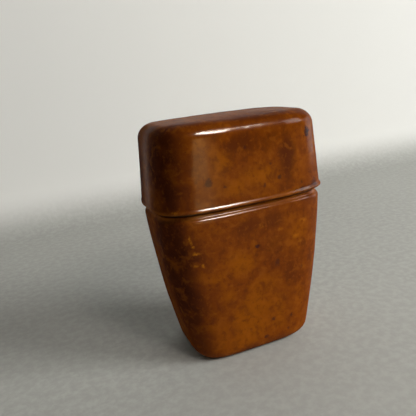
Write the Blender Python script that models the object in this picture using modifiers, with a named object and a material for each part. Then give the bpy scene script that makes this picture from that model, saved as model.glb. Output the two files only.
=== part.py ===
"""A lidded leather dice cup: a flat, tapering cup with a pull-off lid, holding five dice.

The frame: +Z up, +X along the wide side, origin on the table under the middle of the cup.
Every horizontal section is a superellipse, so a wall is given by how its two half-widths
change with height, and a piece inside another is the same wall moved inwards.
"""

import math

import bmesh
import bpy
from mathutils import Matrix, Vector

MM = 0.001

# Plan shape
SIDES = 40
SQUARENESS = 4.1  # exponent of every section: 2 is an ellipse, larger is squarer
CLEARANCE = 0.3 * MM  # air left between pieces that touch
PANEL_EASE = 0.5 * MM  # extra room round a panel that lies in a rounded corner

# Cup, outer surface
CUP_HEIGHT = 69.7 * MM
CUP_FOOT = Vector((28.0, 20.1)) * MM  # half-widths the wall would have at the table
CUP_RIM = Vector((38.5, 23.0)) * MM
CUP_BOW = Vector((1.5, 0.4)) * MM  # how far the wall bellies out half way up
FOOT_RADIUS = 5.5 * MM
SOLE_LAP = 2.5 * MM  # how far the shell turns in under the cup past its rounded foot

# Lid, outer surface; the lid has its own frame, with z = 0 at its foot
LID_GAP = 2.0 * MM  # open seam between the cup's rim and the closed lid
LID_OVERHANG = 0.9 * MM
LID_HEIGHT = 34.9 * MM
LID_TOP = Vector((36.5, 23.25)) * MM
LID_RADIUS = 6.2 * MM
LID_CROWN = 1.1 * MM
CROWN_RINGS = (0.65, 0.3)  # sections across the crowned top, as shares of its flat's width

# Thicknesses and cut edges
HIDE = 1.8 * MM
NECK_WALL = 1.3 * MM
LINING = 0.6 * MM
BOARD = 1.2 * MM
CUP_PAD = 1.2 * MM
LID_PAD = 1.5 * MM
HIDE_EDGE = 0.7 * MM
NECK_EDGE = 0.3 * MM
THIN_EDGE = 0.15 * MM
CUT_EDGE_ANGLE = math.radians(60)  # a sharper turn than this is a cut edge, and is rounded
CREASE_ANGLE = math.radians(40)  # a sharper turn than this is shaded as a crease

# Neck: the sleeve that lines the cup and stands above its rim for the lid to slide over
NECK_STAND = 20.8 * MM
NECK_SETBACK = Vector((1.7, 0.4)) * MM  # how much narrower it gets above the rim
LINING_DROP = 0.8 * MM  # the cup's lining stops this far below the neck's top edge
LID_LINING_RAISE = 1.0 * MM  # the lid's lining starts this far above the lid's foot

# Dice
DIE = 12.0 * MM
DIE_EDGE = 1.1 * MM
PIP_RADIUS = 1.15 * MM
PIP_DEPTH = 0.5 * MM
PIP_PITCH = 2.9 * MM
PIP_TAPER = 0.4  # how much narrower a pip is at its bottom than at the face
PIP_SIDES = 8

# Heights that follow from these
LID_FOOT_Z = CUP_HEIGHT + LID_GAP
NECK_TOP_Z = CUP_HEIGHT + NECK_STAND
BOARD_Z = HIDE + CLEARANCE
CUP_PAD_Z = BOARD_Z + BOARD + CLEARANCE
FLOOR_Z = CUP_PAD_Z + CUP_PAD
LID_BOARD_Z = LID_HEIGHT - HIDE - CLEARANCE - BOARD
LID_PAD_Z = LID_BOARD_Z - CLEARANCE - LID_PAD

# How far the sleeve's outer surface lies inside the cup's
SLEEVE_INSET = HIDE + CLEARANCE

# Die: name, place on the floor (mm), turn about Z and the tumble about X and Y (degrees)
DICE = (
    ("die_1", (-15.6, -6.4), 8, (0, 0)),
    ("die_2", (-0.4, -7.3), -5, (90, 0)),
    ("die_3", (15.0, -5.8), 12, (0, 90)),
    ("die_4", (-8.4, 7.4), -7, (180, 0)),
    ("die_5", (8.2, 7.5), 4, (0, -90)),
)
# Pips as steps of the pitch from the middle of the face, for each number
PIPS = {
    1: ((0, 0),),
    2: ((-1, -1), (1, 1)),
    3: ((-1, -1), (0, 0), (1, 1)),
    4: ((-1, -1), (-1, 1), (1, -1), (1, 1)),
    5: ((-1, -1), (-1, 1), (0, 0), (1, -1), (1, 1)),
    6: ((-1, -1), (-1, 0), (-1, 1), (1, -1), (1, 0), (1, 1)),
}
# The turn that carries the die's top face to the face that bears each number
FACE_TURNS = {
    1: Matrix.Identity(4),
    6: Matrix.Rotation(math.pi, 4, "X"),
    2: Matrix.Rotation(-math.pi / 2, 4, "X"),
    5: Matrix.Rotation(math.pi / 2, 4, "X"),
    3: Matrix.Rotation(math.pi / 2, 4, "Y"),
    4: Matrix.Rotation(-math.pi / 2, 4, "Y"),
}


def clear_scene():
    for old in list(bpy.data.objects):
        bpy.data.objects.remove(old)


def new_collection(name):
    made = bpy.data.collections.new(name)
    bpy.context.scene.collection.children.link(made)
    return made


def new_material(name, colour, roughness):
    made = bpy.data.materials.new(name)
    made.use_nodes = True
    shader = made.node_tree.nodes["Principled BSDF"]
    shader.inputs["Base Color"].default_value = (*colour, 1.0)
    shader.inputs["Roughness"].default_value = roughness
    shader.inputs["Metallic"].default_value = 0.0
    return made


def inset(half, distance):
    return half - Vector((distance, distance))


def cup_wall(z):
    """Half-widths of the cup's outer surface at a height, before its foot is rounded."""
    share = z / CUP_HEIGHT
    return CUP_FOOT.lerp(CUP_RIM, share) + CUP_BOW * 4 * share * (1 - share)


def neck_wall(z):
    """Half-widths of the sleeve's outer surface, inside the cup and then above its rim."""
    if z <= CUP_HEIGHT:
        return inset(cup_wall(z), SLEEVE_INSET)
    return inset(CUP_RIM, SLEEVE_INSET) - NECK_SETBACK * (z - CUP_HEIGHT) / NECK_STAND


def lid_wall(z):
    """Half-widths of the lid's outer surface above its foot, before its top is rounded."""
    return inset(CUP_RIM, -LID_OVERHANG).lerp(LID_TOP, z / LID_HEIGHT)


def quarter_round(radius, steps):
    """(inset from the wall, distance from the flat) along a rounded edge, flat end first."""
    turns = [math.pi / 2 * step / steps for step in range(steps + 1)]
    return [(radius * (1 - math.sin(t)), radius * (1 - math.cos(t))) for t in turns]


def panel_inset(outer_radius, height):
    """How far inside the outer wall a panel lies whose rim is this far from the inner flat."""
    radius = outer_radius - HIDE
    drawn_in = radius - math.sqrt(2 * radius * height - height * height)
    return SLEEVE_INSET + PANEL_EASE + drawn_in


def levels(low, high, steps):
    return [low + (high - low) * step / steps for step in range(steps + 1)]


def section(half, z):
    """Points of one superellipse section, anticlockwise."""
    points = []
    for side in range(SIDES):
        turn = 2 * math.pi * side / SIDES
        c, s = math.cos(turn), math.sin(turn)
        x = half.x * math.copysign(abs(c) ** (2 / SQUARENESS), c)
        y = half.y * math.copysign(abs(s) ** (2 / SQUARENESS), s)
        points.append(Vector((x, y, z)))
    return points


def loft(rings, closed_top=False):
    """An open surface through sections of unlike size, given from the foot upwards."""
    bm = bmesh.new()
    loops = [[bm.verts.new(point) for point in section(half, z)] for half, z in rings]
    for low, high in zip(loops, loops[1:]):
        for side in range(SIDES):
            after = (side + 1) % SIDES
            bm.faces.new((low[side], low[after], high[after], high[side]))
    if closed_top:
        bm.faces.new(loops[-1])
    return bm


def add_object(name, bm, finish, home, parent=None):
    mesh = bpy.data.meshes.new(name)
    bm.to_mesh(mesh)
    bm.free()
    mesh.materials.append(finish)
    made = bpy.data.objects.new(name, mesh)
    made.parent = parent
    home.objects.link(made)
    return made


def thicken(made, thickness, side):
    """Gives a surface its thickness: side -1 grows it inwards, +1 outwards."""
    solidify = made.modifiers.new("thickness", "SOLIDIFY")
    solidify.thickness = thickness
    solidify.offset = side
    solidify.use_even_offset = True


def soften(made, width, segments):
    """Rounds the cut edges and shades the rest smooth."""
    bevel = made.modifiers.new("cut edge", "BEVEL")
    bevel.width = width
    bevel.segments = segments
    bevel.limit_method = "ANGLE"
    bevel.angle_limit = CUT_EDGE_ANGLE
    made.data.shade_smooth()
    made.data.set_sharp_from_angle(angle=CREASE_ANGLE)


def wall_piece(name, rings, thickness, edge, finish, home, parent=None, closed_top=False):
    made = add_object(name, loft(rings, closed_top), finish, home, parent)
    thicken(made, thickness, -1)
    soften(made, edge, 2 if thickness >= HIDE else 1)
    return made


def plate(name, half, z, thickness, finish, home, parent=None):
    """A flat panel with a superellipse outline, standing on the height z."""
    bm = bmesh.new()
    ring = bmesh.ops.create_circle(bm, cap_ends=True, segments=SIDES, radius=1.0)["verts"]
    for vertex, point in zip(ring, section(half, z)):
        vertex.co = point
    bmesh.ops.recalc_face_normals(bm, faces=bm.faces)
    made = add_object(name, bm, finish, home, parent)
    upwards = made.data.polygons[0].normal.z > 0
    thicken(made, thickness, 1 if upwards else -1)
    soften(made, THIN_EDGE, 1)
    return made


def add_cup(hide, raw_hide, suede, board, felt, home):
    foot = [
        (inset(cup_wall(z), drawn_in), z) for drawn_in, z in quarter_round(FOOT_RADIUS, 4)
    ]
    lap = (inset(foot[0][0], SOLE_LAP), 0.0)
    wall = [(cup_wall(z), z) for z in levels(FOOT_RADIUS, CUP_HEIGHT, 5)[1:]]
    wall_piece("cup_shell", [lap, *foot, *wall], HIDE, HIDE_EDGE, hide, home)

    plate("cup_sole", inset(lap[0], CLEARANCE), 0.0, HIDE, hide, home)

    half = inset(cup_wall(BOARD_Z), panel_inset(FOOT_RADIUS, BOARD_Z - HIDE))
    plate("cup_base_board", half, BOARD_Z, BOARD, board, home)
    half = inset(cup_wall(CUP_PAD_Z), panel_inset(FOOT_RADIUS, CUP_PAD_Z - HIDE))
    plate("cup_floor_pad", half, CUP_PAD_Z, CUP_PAD, felt, home)

    heights = levels(FOOT_RADIUS, CUP_HEIGHT, 5) + [NECK_TOP_Z]
    sleeve = [(neck_wall(z), z) for z in heights]
    wall_piece("neck_sleeve", sleeve, NECK_WALL, NECK_EDGE, raw_hide, home)

    lining_inset = NECK_WALL + CLEARANCE
    heights = levels(FLOOR_Z + CLEARANCE, CUP_HEIGHT, 5) + [NECK_TOP_Z - LINING_DROP]
    lining = [(inset(neck_wall(z), lining_inset), z) for z in heights]
    wall_piece("cup_lining", lining, LINING, THIN_EDGE, suede, home)


def add_lid(hide, suede, board, felt, home):
    lid = bpy.data.objects.new("lid", None)
    lid.location.z = LID_FOOT_Z
    home.objects.link(lid)

    wall = [(lid_wall(z), z) for z in levels(0.0, LID_HEIGHT - LID_RADIUS, 2)]
    shoulder = [
        (inset(lid_wall(LID_HEIGHT - drop), drawn_in), LID_HEIGHT - drop)
        for drawn_in, drop in reversed(quarter_round(LID_RADIUS, 4))
    ]
    flat = shoulder[-1][0]
    crown = [(flat * share, LID_HEIGHT + LID_CROWN * (1 - share**2)) for share in CROWN_RINGS]
    rings = [*wall, *shoulder[1:], *crown]
    wall_piece("lid_shell", rings, HIDE, HIDE_EDGE, hide, home, lid, closed_top=True)

    ceiling = LID_HEIGHT - HIDE
    top = LID_BOARD_Z + BOARD
    half = inset(lid_wall(top), panel_inset(LID_RADIUS, ceiling - top))
    plate("lid_top_board", half, LID_BOARD_Z, BOARD, board, home, lid)
    top = LID_PAD_Z + LID_PAD
    half = inset(lid_wall(top), panel_inset(LID_RADIUS, ceiling - top))
    plate("lid_top_pad", half, LID_PAD_Z, LID_PAD, felt, home, lid)

    heights = levels(LID_LINING_RAISE, LID_PAD_Z - CLEARANCE, 2)
    lining = [(inset(lid_wall(z), SLEEVE_INSET), z) for z in heights]
    wall_piece("lid_lining", lining, LINING, THIN_EDGE, suede, home, lid)


def pip_cutter_mesh():
    """The drills for all six faces: short tapered plugs that stand half out of each face."""
    bm = bmesh.new()
    for number, turn in FACE_TURNS.items():
        for across, along in PIPS[number]:
            spot = Vector((across * PIP_PITCH, along * PIP_PITCH, DIE / 2))
            bmesh.ops.create_cone(
                bm,
                cap_ends=True,
                segments=PIP_SIDES,
                radius1=PIP_RADIUS * (1 - PIP_TAPER),
                radius2=PIP_RADIUS * (1 + PIP_TAPER),
                depth=PIP_DEPTH * 2,
                matrix=turn @ Matrix.Translation(spot),
            )
    mesh = bpy.data.meshes.new("pip_drills")
    bm.to_mesh(mesh)
    bm.free()
    return mesh


def add_dice(bone, home, cutters):
    bm = bmesh.new()
    bmesh.ops.create_cube(bm, size=DIE)
    cube = bpy.data.meshes.new("die")
    bm.to_mesh(cube)
    bm.free()
    cube.materials.append(bone)
    drills = pip_cutter_mesh()
    for name, (x, y), turn, (tumble_x, tumble_y) in DICE:
        die = bpy.data.objects.new(name, cube)
        die.location = Vector((x * MM, y * MM, FLOOR_Z + CLEARANCE + DIE / 2))
        tumble = Matrix.Rotation(math.radians(tumble_x), 4, "X")
        tumble @= Matrix.Rotation(math.radians(tumble_y), 4, "Y")
        turned = Matrix.Rotation(math.radians(turn), 4, "Z") @ tumble
        die.rotation_euler = turned.to_euler()
        home.objects.link(die)

        bevel = die.modifiers.new("rounded edges", "BEVEL")
        bevel.width = DIE_EDGE
        bevel.segments = 2

        cutter = bpy.data.objects.new(name + "_drills", drills)
        cutter.parent = die
        cutter.hide_render = True
        cutter.display_type = "WIRE"
        cutters.objects.link(cutter)
        drill = die.modifiers.new("pips", "BOOLEAN")
        drill.operation = "DIFFERENCE"
        drill.object = cutter


def main():
    clear_scene()
    home = new_collection("leather_dice_cup")
    cutters = new_collection("cutters")
    hide = new_material("polished_hide", (0.25, 0.07, 0.02), 0.3)
    raw_hide = new_material("neck_hide", (0.45, 0.2, 0.08), 0.5)
    suede = new_material("lining_suede", (0.16, 0.05, 0.03), 0.9)
    board = new_material("stiffener_board", (0.3, 0.24, 0.17), 0.85)
    felt = new_material("pad_felt", (0.05, 0.14, 0.07), 1.0)
    bone = new_material("dice_bone", (0.8, 0.74, 0.6), 0.35)
    add_cup(hide, raw_hide, suede, board, felt, home)
    add_lid(hide, suede, board, felt, home)
    add_dice(bone, home, cutters)


main()
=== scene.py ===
"""The look of the lidded leather dice cup: moulded hide, linings, felt and dice.

Every wall is a stack of superellipse sections, as in the model it covers. A wall's profile is
a list of (inset, height) pairs, and its half-widths at a height come from wall functions.
"""

import math

import bmesh
import bpy
import numpy as np
from mathutils import Matrix, Vector, noise


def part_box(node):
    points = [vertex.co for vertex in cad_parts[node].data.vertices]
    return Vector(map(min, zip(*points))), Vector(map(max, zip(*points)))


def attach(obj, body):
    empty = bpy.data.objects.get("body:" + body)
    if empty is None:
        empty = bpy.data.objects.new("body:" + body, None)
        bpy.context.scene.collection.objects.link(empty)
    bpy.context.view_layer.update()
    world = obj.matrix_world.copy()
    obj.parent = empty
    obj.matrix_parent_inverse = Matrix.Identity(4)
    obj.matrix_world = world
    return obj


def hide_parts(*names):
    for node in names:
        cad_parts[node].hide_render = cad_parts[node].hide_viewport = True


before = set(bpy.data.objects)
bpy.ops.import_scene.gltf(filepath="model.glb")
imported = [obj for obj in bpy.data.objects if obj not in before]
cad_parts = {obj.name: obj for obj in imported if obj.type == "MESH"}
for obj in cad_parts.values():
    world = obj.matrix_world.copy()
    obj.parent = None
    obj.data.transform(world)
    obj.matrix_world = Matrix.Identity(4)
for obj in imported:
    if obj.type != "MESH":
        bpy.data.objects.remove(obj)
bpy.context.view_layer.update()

MM = 0.001

# Plan shape
CUP_SQUARENESS = 4.3
LID_SQUARENESS = 4.0
SIDES = 300
ROW_STEP = 0.8 * MM

# Heights and half-widths, from the frame
CUP_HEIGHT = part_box("cup_shell")[1].z
CUP_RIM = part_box("cup_shell")[1].xy
LID_FOOT_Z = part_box("lid_shell")[0].z
LID_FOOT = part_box("lid_shell")[1].xy
LID_CROWN_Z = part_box("lid_shell")[1].z
NECK_FOOT_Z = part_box("neck_sleeve")[0].z
NECK_TOP_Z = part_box("neck_sleeve")[1].z

# Walls, as the model has them
CUP_FOOT = Vector((28.0, 20.1)) * MM
CUP_BOW = Vector((1.5, 0.4)) * MM
LID_TOP = Vector((36.5, 23.25)) * MM
LID_CROWN = 1.1 * MM
LID_TOP_Z = LID_CROWN_Z - LID_CROWN
FOOT_RADIUS = 5.5 * MM
LID_RADIUS = 6.2 * MM
NECK_SETBACK = Vector((1.7, 0.4)) * MM
HIDE = 1.8 * MM
NECK_WALL = 1.3 * MM
LINING = 0.6 * MM
GAP = 0.3 * MM
SLEEVE_INSET = HIDE + GAP
LINING_INSET = NECK_WALL + GAP
SOLE_LAP = 2.5 * MM
CROWN_HOLLOW = 0.5 * MM  # how far the lid's inside rises in the middle of its crown
SOLE_GROOVE = 1.8 * MM  # how far in from the sole's edge its border line is pressed
SOLE_GROOVE_DEPTH = 0.25 * MM

# Rounded edges
INNER_EDGE = 0.4 * MM
SHOULDER = (
    (0.0, 2.5), (0.04, 2.1), (0.12, 1.78), (0.25, 1.48), (0.44, 1.2), (0.68, 0.96),
    (0.92, 0.72), (1.1, 0.42), (1.19, 0.0), (1.24, -0.4), (1.34, -0.62), (1.5, -0.7),
)
ROLLED_FOOT = (
    (0.0, 2.5), (-0.02, 2.2), (-0.1, 1.9), (-0.24, 1.6), (-0.4, 1.3), (-0.53, 1.0),
    (-0.57, 0.75), (-0.52, 0.48), (-0.36, 0.24), (-0.1, 0.08), (0.25, 0.01), (0.7, 0.0),
)
RIM_INSIDE = ((1.7, 0.64), (1.8, 0.45))  # (inset, rise above the rim), down to the hide's back
FOOT_SAG = 0.5 * MM  # how much lower the lid's foot is in its middle than at its ends

# Dice
DIE = 12.0 * MM
DIE_EDGE = 1.1 * MM
DIE_GRID = 56
PIP_RADIUS = 1.2 * MM
PIP_DEPTH = 0.5 * MM
PIP_PITCH = 2.9 * MM
DIE_TURNS = {
    "die_1": (8, 0, 0),
    "die_2": (-5, 90, 0),
    "die_3": (12, 0, 90),
    "die_4": (-7, 180, 0),
    "die_5": (4, 0, -90),
}
PIPS = {
    1: ((0, 0),),
    2: ((-1, -1), (1, 1)),
    3: ((-1, -1), (0, 0), (1, 1)),
    4: ((-1, -1), (-1, 1), (1, -1), (1, 1)),
    5: ((-1, -1), (-1, 1), (0, 0), (1, -1), (1, 1)),
    6: ((-1, -1), (-1, 0), (-1, 1), (1, -1), (1, 0), (1, 1)),
}
FACE_TURNS = {
    1: Matrix.Identity(3),
    6: Matrix.Rotation(math.pi, 3, "X"),
    2: Matrix.Rotation(-math.pi / 2, 3, "X"),
    5: Matrix.Rotation(math.pi / 2, 3, "X"),
    3: Matrix.Rotation(math.pi / 2, 3, "Y"),
    4: Matrix.Rotation(-math.pi / 2, 3, "Y"),
}

# Stage
WALL_Y = 0.27
SWEEP = 0.04
FLOOR_DROP = 0.05 * MM  # keeps the floor and the sole from lying in one plane

# Camera
CAMERA_PLACE = Vector((-79.5, -184.0, 121.8)) * MM
CAMERA_YAW = math.radians(-20.26)
CAMERA_PITCH = math.radians(15.77)
CAMERA_ROLL = math.radians(-6.1)
CAMERA_LENS = 38.94


# ---------------------------------------------------------------- walls and profiles


def cup_wall(z):
    share = z / CUP_HEIGHT
    return CUP_FOOT.lerp(CUP_RIM, share) + CUP_BOW * 4 * share * (1 - share)


def neck_wall(z):
    inset = Vector((SLEEVE_INSET, SLEEVE_INSET))
    if z <= CUP_HEIGHT:
        return cup_wall(z) - inset
    return CUP_RIM - inset - NECK_SETBACK * (z - CUP_HEIGHT) / (NECK_TOP_Z - CUP_HEIGHT)


def lid_wall(z):
    return LID_FOOT.lerp(LID_TOP, (z - LID_FOOT_Z) / (LID_TOP_Z - LID_FOOT_Z))


def arc(centre, radius, start, end, steps=6):
    """(inset, height) pairs along an arc; angles in degrees, 0 points outwards, 90 up."""
    pairs = []
    for step in range(steps + 1):
        turn = math.radians(start + (end - start) * step / steps)
        pairs.append((centre[0] - radius * math.cos(turn), centre[1] + radius * math.sin(turn)))
    return pairs


def straight(start, end, step=ROW_STEP):
    """(inset, height) pairs between two ends, leaving both ends out."""
    length = math.dist(start, end)
    count = max(1, round(length / step))
    return [
        tuple(a + (b - a) * k / count for a, b in zip(start, end)) for k in range(1, count)
    ]


def even_turns(half, squareness, count):
    """Angles that space the points of a superellipse evenly along its outline."""
    turns = np.linspace(0, 2 * math.pi, 20001)
    points = superellipse(half, squareness, turns)
    lengths = np.linalg.norm(np.diff(points, axis=0), axis=1)
    along = np.concatenate([[0], np.cumsum(lengths)])
    return np.interp(np.arange(count) / count * along[-1], along, turns)


def superellipse(half, squareness, turns):
    c, s = np.cos(turns), np.sin(turns)
    x = half[0] * np.sign(c) * np.abs(c) ** (2 / squareness)
    y = half[1] * np.sign(s) * np.abs(s) ** (2 / squareness)
    return np.stack([x, y], axis=1)


def grid_of(rows, squareness, sides=SIDES):
    """Points of stacked sections, shape (rows, sides, 3), from (half-widths, height) rows."""
    turns = even_turns(CUP_RIM, squareness, sides)
    grid = np.empty((len(rows), sides, 3))
    for ring, (half, z) in zip(grid, rows):
        ring[:, :2] = superellipse(half, squareness, turns)
        ring[:, 2] = z
    return grid


def rows_of(profile, wall):
    return [(wall(z) - Vector((inset, inset)), z) for inset, z in profile]


# ---------------------------------------------------------------- meshes


def normals_of(grid, loop_rows):
    """Outward normals of a grid whose rings run anticlockwise and whose rows run upwards."""
    around = np.roll(grid, -1, axis=1) - np.roll(grid, 1, axis=1)
    if loop_rows:
        along = np.roll(grid, -1, axis=0) - np.roll(grid, 1, axis=0)
    else:
        along = np.gradient(grid, axis=0)
    normals = np.cross(around, along)
    return normals / np.maximum(np.linalg.norm(normals, axis=2, keepdims=True), 1e-12)


def soft_noise(points, size, seed):
    """Smooth noise from -1 to 1 at each point; size is the distance between its lumps."""
    shift = Vector((seed * 7.31, seed * 3.17, seed * 5.93))
    flat = points.reshape(-1, 3) / size
    values = [noise.noise(Vector(p) + shift) for p in flat]
    return np.array(values).reshape(points.shape[:-1])


def mesh_of(name, grid, loop_rows=False, cap_start=False, cap_end=False):
    rows, sides = grid.shape[:2]
    index = np.arange(rows * sides).reshape(rows, sides)
    if loop_rows:
        index = np.concatenate([index, index[:1]])
    low, high = index[:-1], index[1:]
    after_low, after_high = np.roll(low, -1, axis=1), np.roll(high, -1, axis=1)
    faces = np.stack([low, after_low, after_high, high], axis=2).reshape(-1, 4).tolist()
    if cap_start:
        faces.append(index[0][::-1].tolist())
    if cap_end:
        faces.append(index[-1].tolist())
    mesh = bpy.data.meshes.new(name)
    mesh.from_pydata(grid.reshape(-1, 3).tolist(), [], faces)
    mesh.shade_smooth()
    return mesh


def paint(mesh, name, values):
    layer = mesh.attributes.new(name, "FLOAT", "POINT")
    layer.data.foreach_set("value", np.asarray(values, dtype=np.float32).ravel())


def add_piece(name, mesh, finish, body, slot, *nodes):
    mesh.materials.append(finish)
    made = bpy.data.objects.new(name, mesh)
    bpy.context.scene.collection.objects.link(made)
    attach(made, body)
    if nodes:
        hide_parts(*nodes)
    return made


# ---------------------------------------------------------------- material nodes


def add(tree, kind, inputs=None, **settings):
    made = tree.nodes.new("ShaderNode" + kind)
    for key, value in settings.items():
        setattr(made, key, value)
    for key, value in (inputs or {}).items():
        if isinstance(value, bpy.types.NodeSocket):
            tree.links.new(value, made.inputs[key])
        else:
            made.inputs[key].default_value = value
    return made


def start_material(name):
    made = bpy.data.materials.new(name)
    made.use_nodes = True
    tree = made.node_tree
    coord = add(tree, "TexCoord").outputs["Object"]
    return made, tree, tree.nodes["Principled BSDF"], coord


def cloud(tree, coord, scale, detail=3.0, roughness=0.55, distortion=0.0):
    inputs = {
        "Vector": coord,
        "Scale": scale,
        "Detail": detail,
        "Roughness": roughness,
        "Distortion": distortion,
    }
    return add(tree, "TexNoise", inputs).outputs["Fac"]


def mask(tree, value, low, high):
    inputs = {"Value": value, "From Min": low, "From Max": high}
    return add(tree, "MapRange", inputs, interpolation_type="SMOOTHSTEP").outputs["Result"]


def maths(tree, operation, first, second=0.0):
    return add(tree, "Math", {0: first, 1: second}, operation=operation).outputs[0]


def scaled_up(tree, value, scale, offset):
    """value * scale + offset"""
    inputs = {0: value, 1: scale, 2: offset}
    return add(tree, "Math", inputs, operation="MULTIPLY_ADD").outputs[0]


def blend(tree, factor, first, second, mode="MIX"):
    made = add(tree, "Mix", data_type="RGBA", blend_type=mode)
    for key, value in ((0, factor), (6, first), (7, second)):
        if isinstance(value, bpy.types.NodeSocket):
            tree.links.new(value, made.inputs[key])
        elif isinstance(value, (tuple, list)):
            made.inputs[key].default_value = (*value, 1.0)
        else:
            made.inputs[key].default_value = value
    return made.outputs[2]


def attribute(tree, name):
    return add(tree, "Attribute", attribute_name=name).outputs["Fac"]


def bump(tree, height, distance, normal=None, strength=1.0):
    inputs = {"Height": height, "Distance": distance, "Strength": strength}
    if normal is not None:
        inputs["Normal"] = normal
    return add(tree, "Bump", inputs).outputs["Normal"]


def stretched(tree, coord, scale):
    return add(tree, "Mapping", {"Vector": coord, "Scale": scale}).outputs["Vector"]


# Marks on the hide: centre (mm), half-lengths (mm) and how strong each is
STAINS_AND_SEAM_SHADE = (
    ((28.3, -21.2, 97.0), (1.9, 2.5, 2.7), 0.95),
    ((-18.5, -23.4, 83.1), (2.0, 2.0, 2.4), 0.5),
    ((-12.4, -23.6, 80.5), (0.9, 2.0, 0.8), 0.5),
    ((5.3, -23.8, 78.0), (1.1, 2.0, 1.1), 0.6),
    ((12.6, -23.7, 80.1), (1.2, 2.0, 1.3), 0.65),
    ((8.8, -23.7, 86.6), (0.9, 2.0, 0.9), 0.5),
    ((-2.2, -23.5, 94.9), (0.9, 2.0, 0.8), 0.45),
    ((23.5, -22.8, 76.0), (1.1, 2.0, 1.3), 0.5),
    ((0.5, -22.6, 52.0), (1.2, 2.0, 1.1), 0.75),
    ((9.8, -22.2, 42.1), (1.6, 2.0, 2.0), 0.5),
    ((6.6, -20.9, 15.0), (1.6, 2.0, 1.2), 0.6),
    ((16.2, -20.6, 14.0), (0.8, 2.0, 1.5), 0.5),
    ((14.4, -20.3, 7.5), (0.8, 2.0, 0.8), 0.5),
    ((2.6, -20.6, 6.8), (1.5, 2.0, 0.9), 0.6),
    ((-6.0, -20.0, 2.6), (3.0, 3.0, 1.0), 0.6),
    ((22.5, -21.0, 37.0), (0.9, 2.0, 1.6), 0.4),
    # Painted shade of the seam: these two darken the lid's foot at its right end.
    ((25.0, -22.0, 72.6), (6.0, 4.0, 1.3), 0.6),
    ((31.0, -20.0, 74.0), (2.5, 5.0, 2.4), 0.6),
)
LIGHT_MARKS = (
    ((-28.7, -21.1, 61.4), (0.5, 2.5, 1.3), 0.7),
    ((-28.2, -21.2, 59.3), (0.6, 2.5, 1.2), 0.6),
    ((-27.6, -21.0, 57.8), (0.9, 2.5, 0.7), 0.8),
    ((-26.7, -21.2, 54.6), (1.6, 2.5, 0.75), 1.0),
    ((-27.2, -20.9, 49.2), (1.3, 2.5, 0.6), 0.55),
    ((-24.4, -21.5, 48.9), (0.7, 2.5, 0.8), 0.75),
    ((2.9, -23.0, 61.0), (1.4, 2.5, 1.3), 0.35),
    ((12.0, -23.0, 57.5), (1.3, 2.5, 1.1), 0.25),
    ((19.5, -22.5, 52.5), (2.2, 2.5, 1.2), 0.35),
    ((24.2, -22.0, 58.9), (2.0, 2.5, 1.6), 0.4),
    ((22.0, -22.0, 49.5), (1.8, 2.5, 0.9), 0.25),
    ((-32.8, -20.4, 73.0), (1.1, 2.5, 0.8), 0.8),
)
# Broad patches of the same two kinds, too soft to have an outline; some of them are painted light and
# painted shade, as marked below.
AMBER_PATCHES_AND_PAINTED_LIGHT = (
    ((4.6, -23.8, 82.0), (9.0, 9.0, 7.0), 1.0),
    ((-13.1, -23.6, 90.0), (5.0, 9.0, 6.0), 0.75),
    ((-8.0, -23.6, 79.5), (9.0, 9.0, 3.5), 0.7),
    ((20.5, -23.0, 86.0), (3.0, 9.0, 12.0), 0.35),
    ((-8.0, -22.5, 46.0), (8.0, 9.0, 6.0), 0.8),
    ((3.0, -22.0, 33.0), (9.0, 9.0, 5.0), 0.55),
    ((-14.0, -21.0, 32.0), (5.0, 9.0, 5.0), 0.7),
    ((21.0, -22.0, 54.0), (6.0, 9.0, 8.0), 0.5),
    ((9.0, -21.0, 12.0), (5.0, 9.0, 4.0), 0.6),
    ((-12.0, -21.0, 8.0), (6.0, 9.0, 6.0), 0.6),
    # Painted light: a broad lighter patch low on the cup's front, where light comes up from the
    # floor.
    ((-3.0, -21.0, 18.0), (18.0, 9.0, 14.0), 0.75),
)
DARK_PATCHES_AND_PAINTED_SHADE = (
    ((16.8, -23.5, 88.0), (4.0, 9.0, 12.0), 0.75),
    ((-3.0, -23.5, 96.5), (9.0, 9.0, 4.5), 0.6),
    ((10.0, -23.0, 97.0), (5.0, 9.0, 4.0), 0.45),
    ((-4.0, -23.5, 62.0), (7.0, 9.0, 5.0), 0.45),
    ((9.0, -23.0, 62.0), (7.0, 9.0, 4.0), 0.5),
    ((8.5, -22.0, 51.0), (6.0, 9.0, 5.0), 0.35),
    ((17.0, -21.5, 34.0), (4.0, 9.0, 7.0), 0.4),
    # Painted shade: the left end of the cup and of the lid, which the light leaves dark.
    ((-37.0, -15.0, 48.0), (14.0, 13.0, 50.0), 1.0),
    ((-38.0, -15.0, 92.0), (15.0, 13.0, 26.0), 1.0),
    # Painted shade on the lid's top rounding, just above its highlight.
    ((0.0, -18.0, 106.5), (40.0, 6.0, 2.6), 0.7),
    # Painted shade of the seam, darkening the lid's foot at its right end.
    ((27.0, -22.0, 72.6), (9.0, 7.0, 1.9), 1.0),
    # Darker along the front of the cup's foot.
    ((8.0, -18.0, 2.5), (22.0, 9.0, 3.0), 0.6),
    # Painted shade along the back-left edges of the lid and of the cup.
    ((-38.0, 9.0, 88.0), (5.0, 5.0, 22.0), 1.0),
    ((-33.0, 9.0, 52.0), (8.0, 5.0, 24.0), 0.8),
)


def marks(tree, coord, table, ragged, outer=1.25, inner=0.55):
    """One mask for a table of soft-edged spots whose outlines are broken by noise."""
    total = None
    for centre, half, strength in table:
        away = add(
            tree,
            "VectorMath",
            {0: coord, 1: tuple(c * MM for c in centre)},
            operation="SUBTRACT",
        ).outputs[0]
        scaled = add(
            tree,
            "VectorMath",
            {0: away, 1: tuple(1 / (h * MM) for h in half)},
            operation="MULTIPLY",
        ).outputs[0]
        distance = add(tree, "VectorMath", {0: scaled}, operation="LENGTH").outputs["Value"]
        uneven = maths(tree, "ADD", distance, ragged)
        spot = maths(tree, "MULTIPLY", mask(tree, uneven, outer, inner), strength)
        total = spot if total is None else maths(tree, "MAXIMUM", total, spot)
    return total


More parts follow.
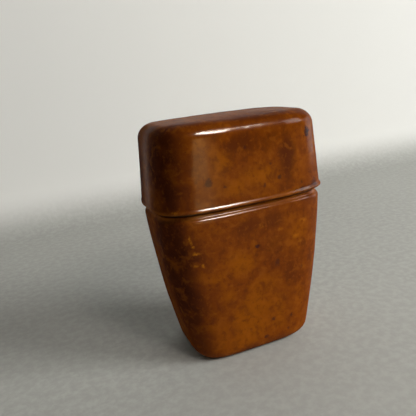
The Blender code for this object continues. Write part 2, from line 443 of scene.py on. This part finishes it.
def hide_material():
    """Old polished hide: cognac over orange, mottled, spotted, worn at its edges."""
    made, tree, shader, coord = start_material("polished_hide")
    wear, dirt_and_shade = attribute(tree, "wear"), attribute(tree, "dirt_and_shade")
    tree.links.new(attribute(tree, "polish"), shader.inputs["Coat Weight"])

    broad = cloud(tree, coord, 42.0, 3.0, 0.5, 0.4)
    patches = cloud(tree, coord, 85.0, 4.0, 0.55, 0.5)
    mottle = cloud(tree, coord, 230.0, 5.0, 0.6, 0.4)
    fine = cloud(tree, coord, 900.0, 4.0, 0.6)

    torn = cloud(tree, coord, 620.0, 4.0, 0.7)
    ragged = maths(tree, "MULTIPLY", maths(tree, "SUBTRACT", torn, 0.44), 2.6)
    uneven = maths(tree, "MULTIPLY", maths(tree, "SUBTRACT", patches, 0.5), 2.2)
    deep, mid = (0.165, 0.036, 0.003), (0.205, 0.047, 0.0025)
    colour = blend(tree, mask(tree, broad, 0.36, 0.64), deep, mid)
    amber_and_painted_light = maths(tree, "MULTIPLY", mask(tree, patches, 0.5, 0.72), 0.5)
    amber_and_painted_light = maths(tree, "MAXIMUM", amber_and_painted_light, marks(tree, coord, AMBER_PATCHES_AND_PAINTED_LIGHT, uneven, 1.3, 0.2))
    # Amber patches of the hide; the broad one low on the cup's front is painted light.
    colour = blend(tree, amber_and_painted_light, colour, (0.285, 0.076, 0.001))
    murky_and_painted_shade = marks(tree, coord, DARK_PATCHES_AND_PAINTED_SHADE, uneven, 1.3, 0.2)
    # Dark patches of the hide; those at the left end, the back-left edges, the lid's top rounding and
    # the seam's right end are painted shade.
    colour = blend(tree, murky_and_painted_shade, colour, (0.068, 0.0135, 0.0035))
    darker = maths(tree, "MULTIPLY", mask(tree, mottle, 0.51, 0.32), 0.6)
    streaks = cloud(tree, stretched(tree, coord, (1.0, 1.0, 0.8)), 520.0, 5.0, 0.65)
    dark_streaks = maths(tree, "MULTIPLY", mask(tree, streaks, 0.49, 0.3), 0.55)
    darker = maths(tree, "MAXIMUM", darker, dark_streaks)
    colour = blend(tree, darker, colour, (0.1, 0.021, 0.004))
    lighter = maths(tree, "MULTIPLY", mask(tree, mottle, 0.52, 0.68), 0.45)
    light_streaks = maths(tree, "MULTIPLY", mask(tree, streaks, 0.53, 0.7), 0.4)
    lighter = maths(tree, "MAXIMUM", lighter, light_streaks)
    colour = blend(tree, lighter, colour, (0.3, 0.082, 0.006))

    specks = add(tree, "TexVoronoi", {"Vector": coord, "Scale": 330.0, "Randomness": 1.0})
    dots = mask(tree, maths(tree, "ADD", specks.outputs["Distance"], ragged), 0.2, 0.02)
    sparse = mask(tree, cloud(tree, coord, 130.0, 2.0), 0.54, 0.64)
    dots = maths(tree, "MULTIPLY", dots, sparse)
    colour = blend(tree, maths(tree, "MULTIPLY", dots, 0.6), colour, (0.045, 0.012, 0.006))

    stains_and_seam_shade = marks(tree, coord, STAINS_AND_SEAM_SHADE, ragged)
    # Dark stains; the two on the lid's foot at the seam's right end are painted shade.
    colour = blend(tree, stains_and_seam_shade, colour, (0.03, 0.013, 0.012))
    scuffs = marks(tree, coord, LIGHT_MARKS, ragged, 1.5, 0.3)
    scuffs = maths(tree, "MULTIPLY", scuffs, mask(tree, streaks, 0.36, 0.56))
    colour = blend(tree, scuffs, colour, (0.5, 0.165, 0.006))

    worn = maths(tree, "MULTIPLY", wear, mask(tree, patches, 0.3, 0.6))
    colour = blend(tree, worn, colour, (0.34, 0.105, 0.012))
    # Painted shade, with some dirt: darker at the cup's foot, along the underside of the lid's foot,
    # over the inside and a little over the sole.
    colour = blend(tree, maths(tree, "MULTIPLY", dirt_and_shade, 0.85), colour, (0.022, 0.008, 0.006))
    tree.links.new(colour, shader.inputs["Base Color"])

    rough = scaled_up(tree, mottle, 0.22, 0.2)
    rough = maths(tree, "ADD", rough, maths(tree, "MULTIPLY", scuffs, 0.2))
    tree.links.new(rough, shader.inputs["Roughness"])

    pores = add(tree, "TexVoronoi", {"Vector": coord, "Scale": 1500.0, "Randomness": 1.0})
    pore_depth = mask(tree, pores.outputs["Distance"], 0.0, 0.45)
    normal = bump(tree, pore_depth, 0.02 * MM, strength=0.35)
    normal = bump(tree, fine, 0.03 * MM, normal, 0.5)
    normal = bump(tree, mottle, 0.12 * MM, normal, 0.5)
    tree.links.new(normal, shader.inputs["Normal"])
    shader.inputs["Specular IOR Level"].default_value = 0.0
    shader.inputs["Coat Roughness"].default_value = 0.14
    return made


def neck_material():
    """Vegetable-tanned hide of the neck: paler, with rub marks that run up and down."""
    made, tree, shader, coord = start_material("neck_hide")
    broad = cloud(tree, coord, 60.0, 4.0, 0.55, 0.5)
    mottle = cloud(tree, coord, 260.0, 5.0, 0.6, 0.4)
    streaks = cloud(tree, stretched(tree, coord, (1.0, 1.0, 0.2)), 620.0, 4.0, 0.6)
    fine = cloud(tree, coord, 1100.0, 3.0)
    colour = blend(tree, mask(tree, broad, 0.35, 0.65), (0.19, 0.072, 0.022), (0.27, 0.11, 0.036))
    mottled = maths(tree, "MULTIPLY", mask(tree, mottle, 0.5, 0.3), 0.5)
    colour = blend(tree, mottled, colour, (0.11, 0.04, 0.014))
    rubbed = maths(tree, "MULTIPLY", mask(tree, streaks, 0.55, 0.75), 0.22)
    colour = blend(tree, rubbed, colour, (0.42, 0.2, 0.075))
    # Darker where the neck is burnished at its top, and in a band at the lid's foot that is a dirt
    # line and painted shade of the gap under the lid.
    colour = blend(tree, attribute(tree, "wear"), colour, (0.07, 0.024, 0.01))
    tree.links.new(colour, shader.inputs["Base Color"])
    rough = mask(tree, streaks, 0.75, 0.2)
    rough = scaled_up(tree, rough, 0.3, 0.32)
    tree.links.new(rough, shader.inputs["Roughness"])
    pores = add(tree, "TexVoronoi", {"Vector": coord, "Scale": 1300.0, "Randomness": 1.0})
    normal = bump(tree, mask(tree, pores.outputs["Distance"], 0.0, 0.45), 0.03 * MM, strength=0.5)
    normal = bump(tree, fine, 0.04 * MM, normal, 0.6)
    tree.links.new(normal, shader.inputs["Normal"])
    shader.inputs["Specular IOR Level"].default_value = 0.2
    return made


def suede_material():
    """Brushed suede lining: matt, with a nap that catches light in patches."""
    made, tree, shader, coord = start_material("lining_suede")
    nap = cloud(tree, coord, 140.0, 4.0, 0.6, 1.2)
    fuzz = cloud(tree, coord, 2600.0, 3.0, 0.7)
    colour = blend(tree, mask(tree, nap, 0.36, 0.66), (0.085, 0.02, 0.012), (0.17, 0.048, 0.028))
    colour = blend(tree, mask(tree, fuzz, 0.35, 0.75), colour, (0.24, 0.085, 0.05))
    tree.links.new(colour, shader.inputs["Base Color"])
    rough = scaled_up(tree, fuzz, 0.15, 0.8)
    tree.links.new(rough, shader.inputs["Roughness"])
    normal = bump(tree, fuzz, 0.08 * MM, strength=0.8)
    normal = bump(tree, nap, 0.2 * MM, normal, 0.4)
    tree.links.new(normal, shader.inputs["Normal"])
    shader.inputs["Specular IOR Level"].default_value = 0.03
    shader.inputs["Sheen Weight"].default_value = 0.12
    shader.inputs["Sheen Roughness"].default_value = 0.5
    shader.inputs["Sheen Tint"].default_value = (0.8, 0.4, 0.25, 1.0)
    return made


def felt_material():
    """Dense green wool felt, its fibres crossing in every direction."""
    made, tree, shader, coord = start_material("pad_felt")
    lumps = cloud(tree, coord, 260.0, 4.0, 0.6)
    fibres = cloud(tree, stretched(tree, coord, (1.0, 0.18, 1.0)), 2600.0, 3.0, 0.7, 1.5)
    crossed = cloud(tree, stretched(tree, coord, (0.18, 1.0, 1.0)), 2600.0, 3.0, 0.7, 1.5)
    strands = maths(tree, "MAXIMUM", fibres, crossed)
    colour = blend(tree, mask(tree, lumps, 0.35, 0.65), (0.018, 0.07, 0.032), (0.035, 0.12, 0.055))
    colour = blend(tree, mask(tree, strands, 0.5, 0.75), colour, (0.09, 0.22, 0.12))
    tree.links.new(colour, shader.inputs["Base Color"])
    rough = scaled_up(tree, strands, 0.1, 0.88)
    tree.links.new(rough, shader.inputs["Roughness"])
    normal = bump(tree, strands, 0.12 * MM, strength=0.9)
    tree.links.new(normal, shader.inputs["Normal"])
    shader.inputs["Specular IOR Level"].default_value = 0.03
    shader.inputs["Sheen Weight"].default_value = 0.15
    shader.inputs["Sheen Roughness"].default_value = 0.6
    return made


def board_material():
    """Grey-brown pressed board with a coarse speckle of fibre."""
    made, tree, shader, coord = start_material("stiffener_board")
    flecks = cloud(tree, coord, 1200.0, 4.0, 0.7)
    broad = cloud(tree, coord, 120.0, 3.0)
    colour = blend(tree, broad, (0.3, 0.22, 0.14), (0.42, 0.33, 0.22))
    colour = blend(tree, mask(tree, flecks, 0.55, 0.7), colour, (0.14, 0.1, 0.07))
    tree.links.new(colour, shader.inputs["Base Color"])
    rough = scaled_up(tree, flecks, 0.15, 0.78)
    tree.links.new(rough, shader.inputs["Roughness"])
    tree.links.new(bump(tree, flecks, 0.08 * MM), shader.inputs["Normal"])
    shader.inputs["Specular IOR Level"].default_value = 0.1
    return made


def dice_material():
    """Ivory-coloured resin with worn black paint in the pips."""
    made, tree, shader, coord = start_material("dice_bone")
    grain = cloud(tree, stretched(tree, coord, (1.0, 1.0, 0.2)), 600.0, 4.0, 0.55, 1.0)
    broad = cloud(tree, coord, 150.0, 3.0)
    fine = cloud(tree, coord, 2200.0, 3.0)
    colour = blend(tree, mask(tree, broad, 0.3, 0.7), (0.62, 0.52, 0.34), (0.78, 0.71, 0.55))
    colour = blend(tree, mask(tree, grain, 0.6, 0.75), colour, (0.5, 0.38, 0.22))
    painted = mask(tree, attribute(tree, "pip"), 0.35, 0.6)
    colour = blend(tree, attribute(tree, "wear"), colour, (0.45, 0.33, 0.19))
    colour = blend(tree, painted, colour, (0.012, 0.011, 0.012))
    tree.links.new(colour, shader.inputs["Base Color"])
    rough = scaled_up(tree, painted, 0.3, 0.24)
    rough = maths(tree, "ADD", rough, maths(tree, "MULTIPLY", fine, 0.12))
    tree.links.new(rough, shader.inputs["Roughness"])
    tree.links.new(bump(tree, fine, 0.02 * MM, strength=0.5), shader.inputs["Normal"])
    shader.inputs["Subsurface Weight"].default_value = 0.08
    shader.inputs["Subsurface Radius"].default_value = (0.002, 0.0014, 0.0008)
    return made


def floor_material():
    made, tree, shader, coord = start_material("pale_floor")
    broad = cloud(tree, coord, 9.0, 5.0, 0.6)
    fine = cloud(tree, coord, 260.0, 5.0, 0.65)
    colour = blend(tree, broad, (0.28, 0.29, 0.27), (0.34, 0.35, 0.33))
    colour = blend(tree, mask(tree, fine, 0.35, 0.7), colour, (0.37, 0.38, 0.36))
    height = add(tree, "SeparateXYZ", {0: coord}).outputs["Z"]
    colour = blend(tree, mask(tree, height, 0.0, SWEEP), colour, (0.78, 0.79, 0.77))
    tree.links.new(colour, shader.inputs["Base Color"])
    shader.inputs["Roughness"].default_value = 0.85
    return made


# ---------------------------------------------------------------- hide pieces


def hand_moulded(grid, normals, seed):
    """How far a hand-moulded hide strays from its true shape: slow waves and small dents."""
    waves = soft_noise(grid, 22 * MM, seed) * 0.28 * MM
    lumps = soft_noise(grid, 7 * MM, seed + 1) * 0.07 * MM
    ripples = soft_noise(grid, 3 * MM, seed + 2) * 0.018 * MM
    return normals * (waves + lumps + ripples)[..., None]


def fade(value, start, end):
    share = np.clip((value - start) / (end - start), 0, 1)
    return share * share * (3 - 2 * share)


def polish_of(grid):
    """How far hands have polished the hide: least at the left end, most on the crown."""
    x, y, z = np.moveaxis(grid, 2, 0)
    left = fade(x, -26 * MM, -36 * MM)
    right = fade(x, 22 * MM, 34 * MM)
    crown = fade(z, LID_TOP_Z - 1.5 * MM, LID_TOP_Z + 0.4 * MM)
    rubbed = np.exp(-(((y + 2 * MM) / (4.5 * MM)) ** 2)) * (z > LID_FOOT_Z)
    return np.maximum(0.11 - 0.06 * left + 0.16 * left * rubbed + 0.12 * right, 0.22 * crown)


def add_cup_hide(finish):
    """The cup's wall: lap under the sole, rounded foot, outside, rim and inside."""
    lap = FOOT_RADIUS + SOLE_LAP
    inner = FOOT_RADIUS - HIDE
    top = CUP_HEIGHT
    profile = arc((lap - INNER_EDGE, INNER_EDGE), INNER_EDGE, 180, 270, 3)
    profile += arc((FOOT_RADIUS, FOOT_RADIUS), FOOT_RADIUS, -90, 0, 12)
    profile += straight((0, FOOT_RADIUS), (0, top - SHOULDER[0][1] * MM))
    profile += [(inset * MM, top - drop * MM) for inset, drop in SHOULDER]
    outside = len(profile)
    profile += [(inset * MM, top + rise * MM) for inset, rise in RIM_INSIDE]
    profile += straight((HIDE, top), (HIDE, FOOT_RADIUS), 4 * MM)
    profile += [(HIDE + d, z) for d, z in arc((inner, FOOT_RADIUS), inner, 0, -90, 5)]
    profile += [(lap, HIDE)]
    grid = grid_of(rows_of(profile, cup_wall), CUP_SQUARENESS)
    normals = normals_of(grid, True)
    moved = hand_moulded(grid, normals, 3)
    standing = fade(grid[..., 2], 1.5 * MM, 9 * MM)
    moved *= standing[..., None]
    moved[outside:] = 0
    near_rim = fade(grid[..., 2], top - 3 * MM, top)
    moved *= 1 - 0.6 * near_rim[..., None]
    grid = grid + moved

    mesh = mesh_of("cup_hide", grid, loop_rows=True)
    z = grid[..., 2]
    wear = 0.55 * fade(z, top - 2.2 * MM, top - 0.4 * MM) + 0.2 * fade(z, 6 * MM, 2.5 * MM)
    # Painted shade, with some dirt: darker where the cup's foot meets the floor, and over the whole
    # inside.
    dirt_and_shade = 0.8 * fade(z, 1.2 * MM, 0.2 * MM)
    wear[outside:] = 0
    dirt_and_shade[outside:] = 0.6
    paint(mesh, "wear", wear)
    paint(mesh, "dirt_and_shade", dirt_and_shade)
    paint(mesh, "polish", polish_of(grid))
    return add_piece("cup_hide", mesh, finish, "cup", "polished_hide", "cup_shell")


def add_sole(finish):
    """The sole, with a border line pressed into it."""
    lo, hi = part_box("cup_sole")
    half = hi.xy
    thick = hi.z - lo.z
    edge = 0.35 * MM
    groove = SOLE_GROOVE
    profile = [(groove + 0.6 * MM, 0), (groove + 0.3 * MM, SOLE_GROOVE_DEPTH)]
    profile += [(groove, SOLE_GROOVE_DEPTH), (groove - 0.3 * MM, 0)]
    profile += arc((edge, edge), edge, -90, 0, 4)
    profile += arc((edge, thick - edge), edge, 0, 90, 4)
    rows = [(half * share, 0.0) for share in (0.02, 0.25, 0.5, 0.7)]
    rows += [(half - Vector((d, d)), z) for d, z in profile]
    rows += [(half * share, thick) for share in (0.8, 0.4, 0.02)]
    mesh = mesh_of("sole", grid_of(rows, CUP_SQUARENESS, 200), cap_start=True, cap_end=True)
    paint(mesh, "polish", np.full(len(mesh.vertices), 0.1))
    paint(mesh, "wear", np.full(len(mesh.vertices), 0.25))
    # Painted shade, with some dirt: the whole sole a little darker.
    paint(mesh, "dirt_and_shade", np.full(len(mesh.vertices), 0.2))
    return add_piece("sole", mesh, finish, "cup", "polished_hide", "cup_sole")


def lid_rows():
    """Rows of the lid from the middle of its crown, down outside and back up inside."""
    flat = lid_wall(LID_TOP_Z) - Vector((LID_RADIUS, LID_RADIUS))
    rows = []
    for step in range(1, 28):
        share = step / 28
        rows.append((flat * share, LID_TOP_Z + LID_CROWN * (1 - share**2)))
    profile = arc((LID_RADIUS, LID_TOP_Z - LID_RADIUS), LID_RADIUS, 90, 0, 16)
    profile += straight((0, LID_TOP_Z - LID_RADIUS), (0, LID_FOOT_Z + ROLLED_FOOT[0][1] * MM))
    profile += [(inset * MM, LID_FOOT_Z + rise * MM) for inset, rise in ROLLED_FOOT]
    outside = len(rows) + len(profile)
    profile += arc((HIDE - INNER_EDGE, LID_FOOT_Z + INNER_EDGE), INNER_EDGE, -90, -180, 3)
    inner = LID_RADIUS - HIDE
    profile += straight((HIDE, LID_FOOT_Z + INNER_EDGE), (HIDE, LID_TOP_Z - LID_RADIUS), 4 * MM)
    bend = arc((inner, LID_TOP_Z - LID_RADIUS), inner, 0, 90, 6)
    profile += [(HIDE + d, z) for d, z in bend]
    rows += rows_of(profile, lid_wall)
    rows += [(flat * share, LID_TOP_Z - HIDE + CROWN_HOLLOW) for share in (0.8, 0.5, 0.2)]
    return rows, outside


def add_lid_hide(finish):
    """The lid, its rolled foot flattened at the left end and sagging in its middle."""
    rows, outside = lid_rows()
    grid = grid_of(rows, LID_SQUARENESS)
    grid = grid[::-1]
    first_outside = len(rows) - outside
    normals = normals_of(grid, False)
    moved = hand_moulded(grid, normals, 11)
    near_foot = fade(grid[..., 2], LID_FOOT_Z + 6 * MM, LID_FOOT_Z)
    moved *= 1 - 0.5 * near_foot[..., None]
    moved[:first_outside] = 0
    grid = grid + moved
    left_end = fade(grid[..., 0], -24 * MM, -36 * MM)
    proud = np.maximum(np.array([half.x for half, z in rows]) - LID_FOOT.x, 0)
    grid[..., 0] += proud[::-1, None] * left_end
    sagging = fade(grid[..., 2], LID_FOOT_Z + 12 * MM, LID_FOOT_Z)
    grid[..., 2] -= FOOT_SAG * sagging * (0.5 - (grid[..., 0] / LID_FOOT.x) ** 2)
    mesh = mesh_of("lid_hide", grid, cap_start=True, cap_end=True)
    z = grid[..., 2]
    wear = 0.5 * fade(z, LID_FOOT_Z + 2.2 * MM, LID_FOOT_Z + 1.0 * MM)
    # Painted shade, with some dirt: darker along the underside of the lid's foot, and over the whole
    # inside.
    dirt_and_shade = 0.7 * fade(z, LID_FOOT_Z + 0.5 * MM, LID_FOOT_Z)
    wear[:first_outside] = 0
    dirt_and_shade[:first_outside] = 0.5
    paint(mesh, "wear", wear)
    paint(mesh, "dirt_and_shade", dirt_and_shade)
    paint(mesh, "polish", polish_of(grid))
    return add_piece("lid_hide", mesh, finish, "lid", "polished_hide", "lid_shell")


# ---------------------------------------------------------------- neck and linings


def sleeve_grid(wall, low, high, thick, edge, squareness, step=1.2 * MM):
    """A thin sleeve: outside going up, a rounded top edge, and the inside coming down."""
    profile = [(edge, low)]
    profile += straight((0, low + edge), (0, high - edge), step)
    profile += arc((edge, high - edge), edge, 0, 90, 4)
    profile += arc((thick - edge, high - edge), edge, 90, 180, 4)
    profile += straight((thick, high - edge), (thick, low + edge), step)
    profile += [(thick - edge, low)]
    return grid_of(rows_of(profile, wall), squareness)


def add_neck(finish):
    grid = sleeve_grid(neck_wall, NECK_FOOT_Z, NECK_TOP_Z, NECK_WALL, 0.5 * MM, CUP_SQUARENESS)
    mesh = mesh_of("neck", grid, loop_rows=True)
    z = grid[..., 2]
    burnished = 0.7 * fade(z, NECK_TOP_Z - 1.0 * MM, NECK_TOP_Z - 0.2 * MM)
    # A dirt line, and painted shade of the gap under the lid's foot.
    dirt_and_gap_shade = 0.4 * fade(z, LID_FOOT_Z + 1.5 * MM, LID_FOOT_Z - 0.5 * MM)
    paint(mesh, "wear", np.maximum(burnished, dirt_and_gap_shade))
    return add_piece("neck", mesh, finish, "cup", "neck_hide", "neck_sleeve")


def add_linings(finish):
    lo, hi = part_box("cup_lining")
    inset = Vector((LINING_INSET, LINING_INSET))
    grid = sleeve_grid(
        lambda z: neck_wall(z) - inset, lo.z, hi.z, LINING, 0.2 * MM, CUP_SQUARENESS
    )
    mesh = mesh_of("cup_suede", grid, loop_rows=True)
    add_piece("cup_suede", mesh, finish, "cup", "lining_suede", "cup_lining")

    lo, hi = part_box("lid_lining")
    inset = Vector((SLEEVE_INSET, SLEEVE_INSET))
    grid = sleeve_grid(
        lambda z: lid_wall(z) - inset, lo.z, hi.z, LINING, 0.2 * MM, LID_SQUARENESS
    )
    mesh = mesh_of("lid_suede", grid, loop_rows=True)
    add_piece("lid_suede", mesh, finish, "lid", "lining_suede", "lid_lining")


def add_felt(name, node, body, finish, squareness):
    """A die-cut felt pad: soft edges and a slightly lumpy face."""
    lo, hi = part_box(node)
    half = hi.xy
    edge = (hi.z - lo.z) * 0.45
    middle = (hi.z + lo.z) / 2
    rim = arc((edge, middle), edge, -90, 90, 8)
    rows = [(half * (k / 24), lo.z) for k in range(1, 23)]
    rows += [(half - Vector((d, d)), z) for d, z in rim]
    rows += [(half * (k / 24), hi.z) for k in range(22, 0, -1)]
    grid = grid_of(rows, squareness, 200)
    lumps = soft_noise(grid, 1.6 * MM, 21) * 0.05 * MM
    lumps *= fade(np.hypot(grid[..., 0], grid[..., 1]), 1.0 * MM, 5.0 * MM)
    grid[..., 2] += np.where(grid[..., 2] > middle, -1, 1) * np.abs(lumps)
    mesh = mesh_of(name, grid, cap_start=True, cap_end=True)
    made = add_piece(name, mesh, finish, body, "pad_felt", node)
    return made


# ---------------------------------------------------------------- dice


def die_mesh():
    """A rounded cube with a shallow bowl for each pip; opposite faces add up to seven."""
    steps = np.linspace(-DIE / 2, DIE / 2, DIE_GRID + 1)
    across, along = np.meshgrid(steps, steps, indexing="ij")
    face = np.stack([across, along, np.full_like(across, DIE / 2)], axis=2).reshape(-1, 3)
    core = DIE / 2 - DIE_EDGE
    points, faces, pips, worn = [], [], [], []
    count = DIE_GRID + 1
    corner = (np.arange(DIE_GRID)[:, None] * count + np.arange(DIE_GRID)).ravel()
    quads = np.stack([corner, corner + count, corner + count + 1, corner + 1], axis=1)
    for number, turn in FACE_TURNS.items():
        inner = np.clip(face, -core, core)
        away = face - inner
        length = np.linalg.norm(away, axis=1, keepdims=True)
        rounded = inner + away / length * DIE_EDGE
        depth = np.zeros(len(face))
        for u, v in PIPS[number]:
            reach = np.hypot(face[:, 0] - u * PIP_PITCH, face[:, 1] - v * PIP_PITCH)
            bowl = np.clip(1 - (reach / PIP_RADIUS) ** 2, 0, 1)
            depth = np.maximum(depth, bowl)
        rounded[:, 2] -= depth**0.8 * PIP_DEPTH
        faces.append(quads + len(points) * len(face))
        points.append(rounded @ np.array(turn).T)
        pips.append(np.minimum(depth * 3, 1))
        worn.append(np.clip(length[:, 0] / DIE_EDGE - 1, 0, 0.7))
    mesh = bpy.data.meshes.new("die")
    mesh.from_pydata(np.concatenate(points).tolist(), [], np.concatenate(faces).tolist())
    paint(mesh, "pip", np.concatenate(pips))
    paint(mesh, "wear", np.concatenate(worn))
    weld(mesh)
    mesh.shade_smooth()
    return mesh


def weld(mesh):
    """Join the points that faces share along their edges."""
    bm = bmesh.new()
    bm.from_mesh(mesh)
    bmesh.ops.remove_doubles(bm, verts=bm.verts, dist=0.001 * MM)
    bmesh.ops.recalc_face_normals(bm, faces=bm.faces)
    bm.to_mesh(mesh)
    bm.free()


def add_dice(finish):
    shape = die_mesh()
    for node, (turn, tumble_x, tumble_y) in DIE_TURNS.items():
        lo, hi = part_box(node)
        place = Matrix.Translation((lo + hi) / 2)
        place @= Matrix.Rotation(math.radians(turn), 4, "Z")
        place @= Matrix.Rotation(math.radians(tumble_x), 4, "X")
        place @= Matrix.Rotation(math.radians(tumble_y), 4, "Y")
        mesh = shape.copy()
        mesh.materials.append(finish)
        made = bpy.data.objects.new("bone_" + node, mesh)
        made.matrix_world = place
        bpy.context.scene.collection.objects.link(made)
        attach(made, node)
        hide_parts(node)


# ---------------------------------------------------------------- stage, light and camera


def add_floor(finish):
    """A pale sheet that lies flat under the cup and sweeps up into a backdrop behind it."""
    rows = [(y, -FLOOR_DROP) for y in (-0.9, -0.3, 0.1, WALL_Y - SWEEP)]
    for step in range(1, 13):
        turn = math.pi / 2 * step / 12
        rise = SWEEP * (1 - math.cos(turn)) - FLOOR_DROP
        rows.append((WALL_Y - SWEEP * (1 - math.sin(turn)), rise))
    rows.append((WALL_Y, 0.9))
    points = [(x, y, z) for y, z in rows for x in (-1.2, 1.2)]
    faces = [(2 * k, 2 * k + 1, 2 * k + 3, 2 * k + 2) for k in range(len(rows) - 1)]
    mesh = bpy.data.meshes.new("pale_floor")
    mesh.from_pydata(points, [], faces)
    mesh.shade_smooth()
    mesh.materials.append(finish)
    made = bpy.data.objects.new("pale_floor", mesh)
    bpy.context.scene.collection.objects.link(made)


def add_light(name, place, target, size, watts, colour=(1.0, 1.0, 1.0), tilt=0.0, glint=False):
    """A square-cornered soft light; a glint only shows in gloss and adds no light of its own."""
    data = bpy.data.lights.new(name, "AREA")
    data.shape = "RECTANGLE"
    data.size, data.size_y = size
    data.energy = watts
    data.color = colour
    made = bpy.data.objects.new(name, data)
    aim = (Vector(target) - Vector(place)).to_track_quat("-Z", "Y").to_matrix().to_4x4()
    aim @= Matrix.Rotation(math.radians(tilt), 4, "Z")
    made.matrix_world = Matrix.Translation(place) @ aim
    made.visible_camera = False
    made.visible_diffuse = not glint
    bpy.context.scene.collection.objects.link(made)
    return made


def add_lights():
    middle = (0, 0, 0.055)
    warm = (1.0, 0.8, 0.35)
    add_light("key", (1.14, -0.79, 0.76), middle, (0.6, 0.6), 23.0, (1.0, 0.98, 0.95))
    add_light("right", (0.6, -0.05, 0.12), middle, (0.3, 0.4), 1.4, glint=True)
    facing = (0, 0, 0.07)
    add_light("front", (0.01, -0.37, 0.07), facing, (0.1, 0.16), 0.4, warm, glint=True)
    add_light("front_wide", (0.03, -0.37, 0.07), facing, (0.14, 0.16), 0.25, warm, glint=True)
    lid_edge = (-0.015, -0.02, 0.102)
    white = (1.0, 0.93, 0.82)
    add_light("glint", (0.16, -0.52, 0.51), lid_edge, (0.23, 0.12), 34.0, white, tilt=-30, glint=True)
    add_light("trail", (0.24, -0.49, 0.63), lid_edge, (0.22, 0.09), 7.0, white, tilt=-35, glint=True)
    world = bpy.data.worlds.new("studio")
    world.use_nodes = True
    background = world.node_tree.nodes["Background"]
    background.inputs["Color"].default_value = (0.95, 0.97, 1.0, 1.0)
    background.inputs["Strength"].default_value = 0.05
    bpy.context.scene.world = world
    bpy.context.scene.view_settings.view_transform = "Standard"


def add_camera():
    data = bpy.data.cameras.new("camera")
    data.lens = CAMERA_LENS
    data.sensor_width = 36.0
    data.clip_start = 0.01
    made = bpy.data.objects.new("camera", data)
    cos_pitch = math.cos(CAMERA_PITCH)
    back = Vector(
        (
            math.sin(CAMERA_YAW) * cos_pitch,
            -math.cos(CAMERA_YAW) * cos_pitch,
            math.sin(CAMERA_PITCH),
        )
    )
    level = (-back).cross(Vector((0, 0, 1))).normalized()
    upright = level.cross(-back)
    right = level * math.cos(CAMERA_ROLL) + upright * math.sin(CAMERA_ROLL)
    up = -level * math.sin(CAMERA_ROLL) + upright * math.cos(CAMERA_ROLL)
    turn = Matrix((right, up, back)).transposed()
    made.matrix_world = Matrix.Translation(CAMERA_PLACE) @ turn.to_4x4()
    bpy.context.scene.collection.objects.link(made)
    bpy.context.scene.camera = made


def paint_boards(finish):
    for node in ("cup_base_board", "lid_top_board"):
        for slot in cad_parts[node].material_slots:
            slot.material = finish


def main():
    add_camera()
    hide = hide_material()
    add_cup_hide(hide)
    add_sole(hide)
    add_lid_hide(hide)
    add_neck(neck_material())
    add_linings(suede_material())
    felt = felt_material()
    add_felt("floor_felt", "cup_floor_pad", "cup", felt, CUP_SQUARENESS)
    add_felt("lid_felt", "lid_top_pad", "lid", felt, LID_SQUARENESS)
    add_dice(dice_material())
    paint_boards(board_material())
    add_floor(floor_material())
    add_lights()


main()
